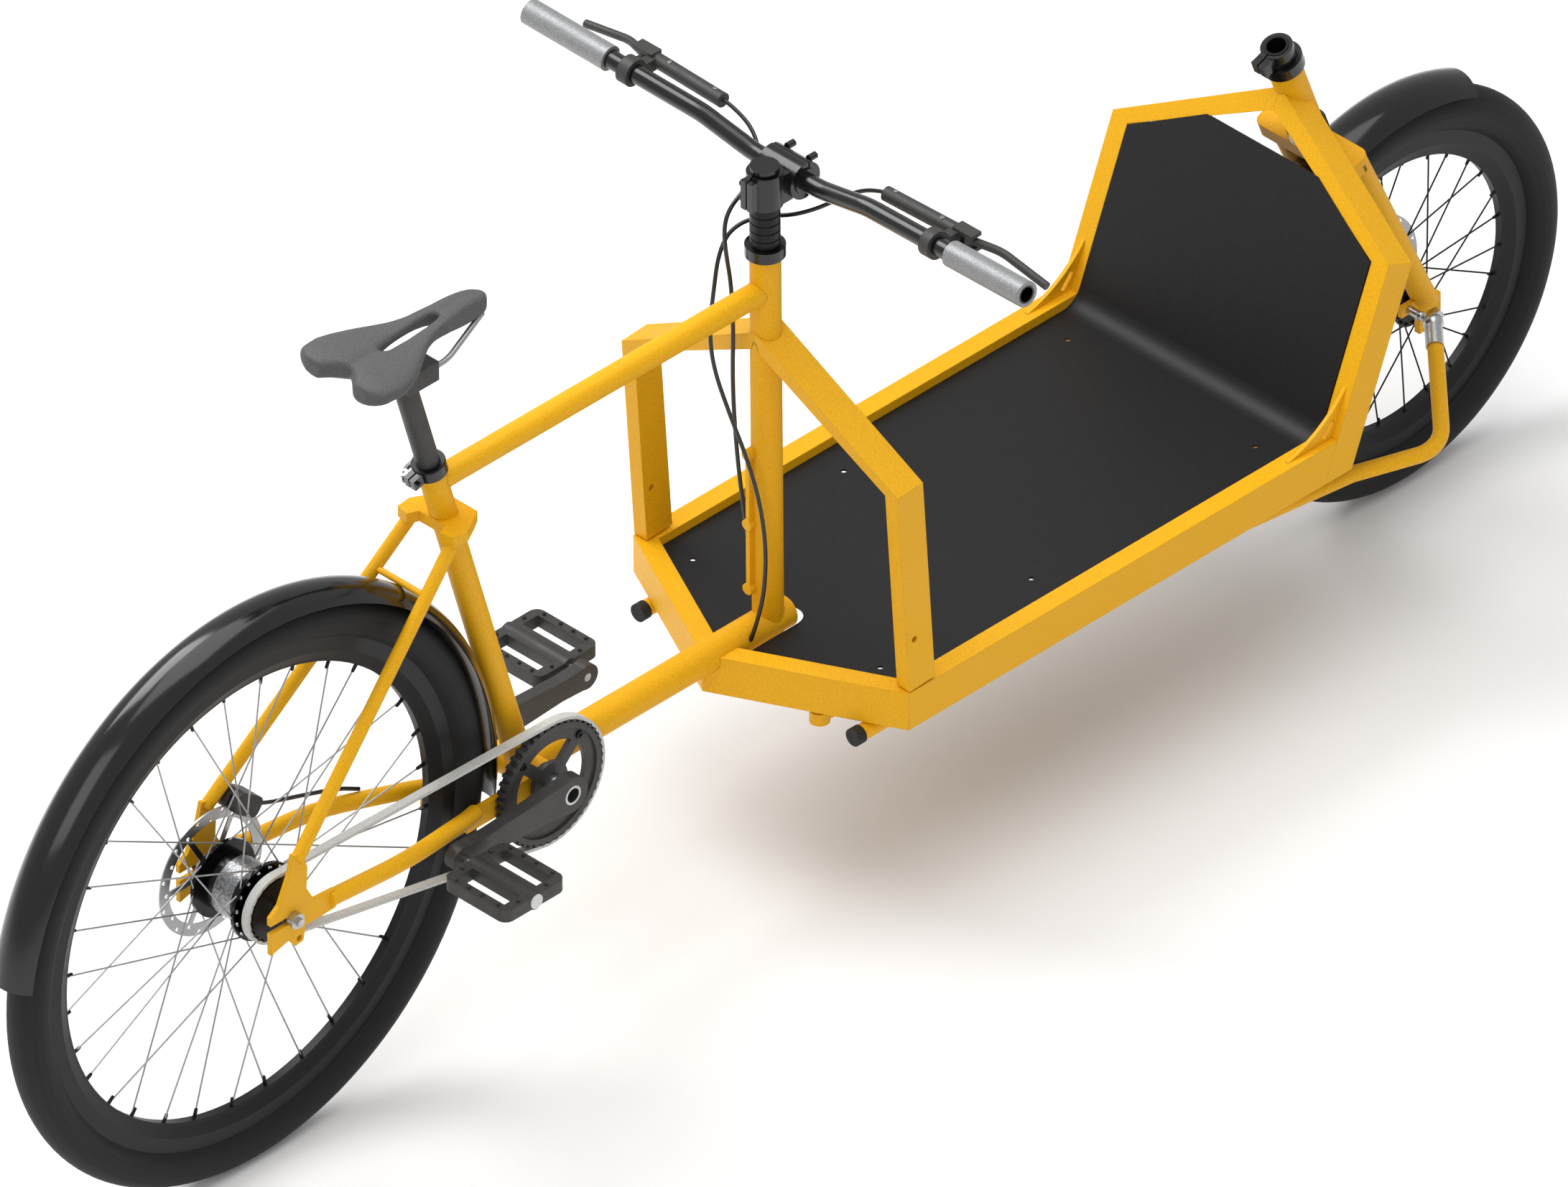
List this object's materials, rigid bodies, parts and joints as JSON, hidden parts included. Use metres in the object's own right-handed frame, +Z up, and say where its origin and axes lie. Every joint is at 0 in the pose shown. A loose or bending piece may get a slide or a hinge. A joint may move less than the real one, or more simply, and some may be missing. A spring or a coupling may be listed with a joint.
{
  "type": "cargo bicycle",
  "caption": "Long two-wheeled cargo bicycle with a low open deck behind a small steered front wheel, belt drive and disc brakes.",
  "frame": {"origin": "on the ground under the middle of the bicycle's length and width", "axes": "+X forward, +Y to the rider's left, +Z up"},
  "size_m": [2.4444, 0.7824, 0.9927],
  "materials": {
    "yellow_paint": "satin powder coat",
    "black_paint": "satin",
    "black_alloy": "satin anodised",
    "gloss_black": "gloss",
    "tyre_rubber": "matte",
    "stainless": "brushed",
    "steel": "zinc plated",
    "belt_rubber": "matte",
    "sprocket_steel": "machined",
    "grip_rubber": "matte",
    "saddle_cover": "matte",
    "hose": "satin",
    "foot_rubber": "matte"
  },
  "bodies": {
    "frame": {"main_tube": "yellow_paint", "seat_tube": "yellow_paint", "top_tube": "yellow_paint", "mast_tube": "yellow_paint", "rear_triangle": "yellow_paint", "deck_frame": "yellow_paint", "rear_arch": "yellow_paint", "front_hoop": "yellow_paint", "front_head_tube": "yellow_paint", "deck_panel": "black_paint", "headset_cups": "black_alloy", "bottom_bracket_cups": "black_alloy", "rear_fender": "gloss_black", "rear_axle": "steel", "rear_brake_caliper": "black_alloy", "rear_brake_hose": "hose", "seat_collar": "black_alloy", "drive_belt": "belt_rubber", "steering_hoses": "hose"},
    "column": {"steering_column": "steel", "column_spacers": "black_alloy", "stem": "black_alloy", "column_bolts": "steel", "handlebar": "black_alloy", "grips": "grip_rubber", "lever_perches": "black_alloy", "column_arm": "yellow_paint"},
    "lever_left": {"brake_lever_left": "black_alloy"},
    "lever_right": {"brake_lever_right": "black_alloy"},
    "rod": {"tie_rod": "yellow_paint", "rod_ball_joint": "steel"},
    "fork": {"fork_steerer": "yellow_paint", "fork_blades": "yellow_paint", "steering_stud": "steel", "fork_collar": "black_alloy", "front_axle": "steel", "front_brake_caliper": "black_alloy", "front_fender": "gloss_black"},
    "front_wheel": {"front_tyre": "tyre_rubber", "front_rim": "black_alloy", "front_hub": "black_alloy", "front_spokes": "black_paint", "front_brake_disc": "stainless"},
    "rear_wheel": {"rear_tyre": "tyre_rubber", "rear_rim": "black_alloy", "rear_hub": "black_alloy", "rear_spokes": "stainless", "rear_brake_disc": "stainless"},
    "sprocket": {"rear_sprocket": "sprocket_steel"},
    "cranks": {"crank_arms": "black_paint", "crank_axles": "steel", "chainring": "black_paint"},
    "left_pedal": {"pedal_left": "black_alloy"},
    "right_pedal": {"pedal_right": "black_alloy"},
    "seat": {"seatpost": "black_alloy", "saddle_rails": "stainless", "saddle": "saddle_cover"},
    "collar_lever": {"seat_collar_lever": "steel"},
    "stand": {"stand_legs": "yellow_paint", "stand_feet": "foot_rubber"}
  },
  "joints": [
    {"name": "fork_steer", "type": "hinge", "parent": "frame", "child": "fork", "pos_m": [0.79216, 0, 0.657], "axis": [-0.342, 0, 0.9397], "range_deg": [-30, 30]},
    {"name": "column_steer", "type": "hinge", "parent": "frame", "child": "column", "pos_m": [-0.02884, 0, 0.812], "axis": [0, 0, 1], "range_deg": [-30, 30], "deforming": ["steering_hoses"]},
    {"name": "rod_swing", "type": "hinge", "parent": "column", "child": "rod", "pos_m": [-0.02884, -0.081, 0.221], "axis": [0, 0, 1], "range_deg": [-30, 30]},
    {"name": "front_wheel_spin", "type": "hinge", "parent": "fork", "child": "front_wheel", "pos_m": [0.96516, 0, 0.257], "axis": [0, 1, 0], "continuous": true},
    {"name": "rear_wheel_spin", "type": "hinge", "parent": "frame", "child": "rear_wheel", "pos_m": [-0.84684, 0, 0.36], "axis": [0, 1, 0], "continuous": true},
    {"name": "crank_spin", "type": "hinge", "parent": "frame", "child": "cranks", "pos_m": [-0.41684, 0, 0.31], "axis": [0, 1, 0], "continuous": true},
    {"name": "sprocket_spin", "type": "hinge", "parent": "frame", "child": "sprocket", "pos_m": [-0.84684, 0, 0.36], "axis": [0, 1, 0], "continuous": true},
    {"name": "left_pedal_spin", "type": "hinge", "parent": "cranks", "child": "left_pedal", "pos_m": [-0.24684, 0, 0.31], "axis": [0, 1, 0], "continuous": true},
    {"name": "right_pedal_spin", "type": "hinge", "parent": "cranks", "child": "right_pedal", "pos_m": [-0.58684, 0, 0.31], "axis": [0, 1, 0], "continuous": true},
    {"name": "left_lever_pull", "type": "hinge", "parent": "column", "child": "lever_left", "pos_m": [0.03716, 0.256, 0.924], "axis": [0, 0, 1], "range_deg": [0, 14], "stiffness_Nm_per_rad": 1, "springref_deg": -5.73},
    {"name": "right_lever_pull", "type": "hinge", "parent": "column", "child": "lever_right", "pos_m": [0.03716, -0.256, 0.924], "axis": [0, 0, -1], "range_deg": [0, 14], "stiffness_Nm_per_rad": 1, "springref_deg": -5.73},
    {"name": "seatpost_slide", "type": "slide", "parent": "frame", "child": "seat", "axis": [-0.2756, 0, 0.9613], "range_m": [-0.1, 0.12]},
    {"name": "collar_lever_open", "type": "hinge", "parent": "frame", "child": "collar_lever", "pos_m": [-0.57897, 0.014, 0.7811], "axis": [-0.2756, 0, 0.9613], "range_deg": [0, 110]},
    {"name": "stand_fold", "type": "hinge", "parent": "frame", "child": "stand", "pos_m": [0.20316, 0, 0.253], "axis": [0, -1, 0], "range_deg": [0, 98]}
  ],
  "couplings": [
    {"joint": "column_steer", "follows": "fork_steer", "ratio": 1},
    {"joint": "rod_swing", "follows": "fork_steer", "ratio": -1},
    {"joint": "sprocket_spin", "follows": "crank_spin", "ratio": 1.9167}
  ]
}
